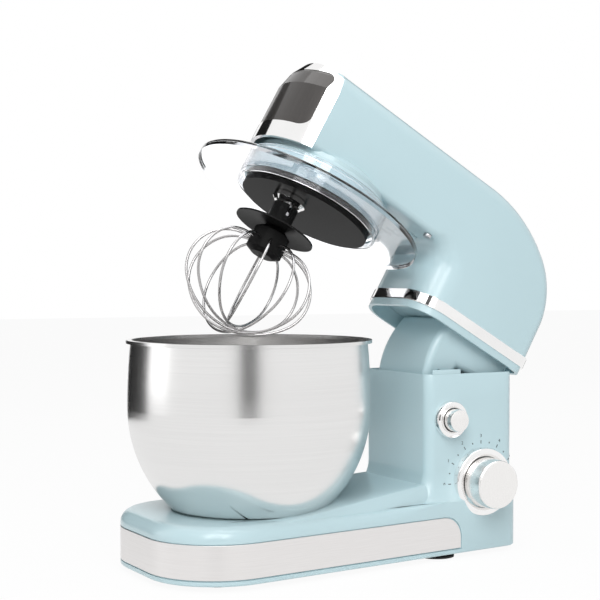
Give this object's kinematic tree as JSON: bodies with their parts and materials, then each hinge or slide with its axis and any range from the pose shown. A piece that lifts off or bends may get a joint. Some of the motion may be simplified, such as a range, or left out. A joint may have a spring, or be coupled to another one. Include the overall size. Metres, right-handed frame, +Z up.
{
  "type": "stand mixer",
  "caption": "Tilt-head kitchen stand mixer with a steel bowl on its base, a planetary whisk, a clear splash guard, a speed knob and a head release button.",
  "frame": {"origin": "on the table under the middle of the whole machine, head raised", "axes": "+Z up; the bowl is at -Y, the column and hinge at +Y, the speed knob on +X"},
  "size_m": [0.19, 0.3579, 0.3927],
  "materials": {
    "body_plastic": "gloss moulded ABS",
    "brushed_trim": "brushed, satin",
    "chrome_trim": "plated, polished",
    "satin_knob": "satin plated",
    "smoked_panel": "gloss smoked",
    "bowl_steel": "fine brushed inside and out",
    "wire_steel": "polished wire",
    "clear_plastic": "clear polycarbonate",
    "black_plastic": "satin",
    "base_cover": "satin",
    "rubber_feet": "soft translucent rubber",
    "circuit_board": "satin",
    "steel": "machined",
    "gear_nylon": "moulded nylon",
    "gear_steel": "machined",
    "die_cast": "die cast",
    "copper": "turned copper",
    "carbon": "carbon"
  },
  "bodies": {
    "base": {"base_housing": "body_plastic", "base_plate": "base_cover", "suction_feet": "rubber_feet", "base_screws": "steel", "cord_grommet": "black_plastic", "base_trim_band": "brushed_trim", "bowl_seat": "black_plastic", "knob_ring": "chrome_trim", "speed_switch": "black_plastic", "control_board": "circuit_board", "button_ring": "chrome_trim", "latch_guide": "black_plastic", "button_spring": "steel", "hinge_bracket": "steel", "hinge_pin": "steel"},
    "knob": {"speed_knob": "satin_knob", "knob_shaft": "steel"},
    "button": {"release_button": "satin_knob", "latch_bar": "die_cast"},
    "head": {"neck_block": "body_plastic", "head_shell": "body_plastic", "neck_band": "chrome_trim", "front_cap": "chrome_trim", "front_panel": "smoked_panel", "head_underside": "body_plastic", "cover_screws": "steel", "ring_gear": "gear_nylon", "carrier_bearing": "steel", "gearbox_frame": "die_cast", "gearbox_bridge": "die_cast", "front_bearing": "steel", "rear_bearing": "steel", "motor_stator": "steel", "motor_mount": "die_cast", "carbon_brushes": "carbon"},
    "carrier": {"planet_carrier": "black_plastic", "main_shaft": "steel", "main_gear": "gear_nylon"},
    "tool": {"planet_gear": "gear_nylon", "tool_shaft": "steel", "drive_pin": "steel", "shaft_collar": "chrome_trim"},
    "lay": {"lay_shaft": "steel", "pinion": "gear_steel", "worm_wheel": "gear_nylon"},
    "motor": {"motor_shaft": "steel", "worm": "steel", "armature": "steel", "commutator": "copper", "cooling_fan": "black_plastic"},
    "whisk": {"whisk_hub": "black_plastic", "whisk_disc": "black_plastic", "whisk_wires": "wire_steel"},
    "guard": {"splash_guard": "clear_plastic"},
    "bowl": {"mixing_bowl": "bowl_steel", "bowl_foot": "black_plastic"}
  },
  "joints": [
    {"name": "head_tilt", "type": "hinge", "parent": "base", "child": "head", "pos_m": [0, 0.126, 0.135], "axis": [-1, 0, 0], "range_deg": [-30, 0]},
    {"name": "release_button", "type": "slide", "parent": "base", "child": "button", "axis": [-1, 0, 0], "range_m": [0, 0.004], "stiffness_N_per_m": 600, "springref_m": -0.003, "deforming": ["button_spring"]},
    {"name": "speed_knob", "type": "hinge", "parent": "base", "child": "knob", "pos_m": [0.047, 0.1028, 0.0591], "axis": [1, 0, 0], "range_deg": [-30, 150]},
    {"name": "carrier_spin", "type": "hinge", "parent": "head", "child": "carrier", "pos_m": [0, -0.03336, 0.27897], "axis": [0, 0.5, 0.866], "continuous": true},
    {"name": "tool_spin", "type": "hinge", "parent": "carrier", "child": "tool", "pos_m": [0.01482, -0.05291, 0.29025], "axis": [0, 0.5, 0.866], "continuous": true},
    {"name": "lay_spin", "type": "hinge", "parent": "head", "child": "lay", "pos_m": [0.022, 0.03148, 0.29927], "axis": [0, 0.5, 0.866], "continuous": true},
    {"name": "motor_spin", "type": "hinge", "parent": "head", "child": "motor", "pos_m": [0, 0.08474, 0.28353], "axis": [0, 0.866, -0.5], "continuous": true},
    {"name": "whisk_slide", "type": "slide", "parent": "tool", "child": "whisk", "axis": [0, -0.5, -0.866], "range_m": [0, 0.025]},
    {"name": "guard_slide", "type": "slide", "parent": "head", "child": "guard", "axis": [0, -0.5, -0.866], "range_m": [0, 0.02]},
    {"name": "bowl_lift", "type": "slide", "parent": "base", "child": "bowl", "axis": [0, 0, 1], "range_m": [0, 0.04]}
  ],
  "couplings": [
    {"joint": "tool_spin", "follows": "carrier_spin", "ratio": -3},
    {"joint": "lay_spin", "follows": "carrier_spin", "ratio": -3.25},
    {"joint": "motor_spin", "follows": "carrier_spin", "ratio": 55.25}
  ]
}
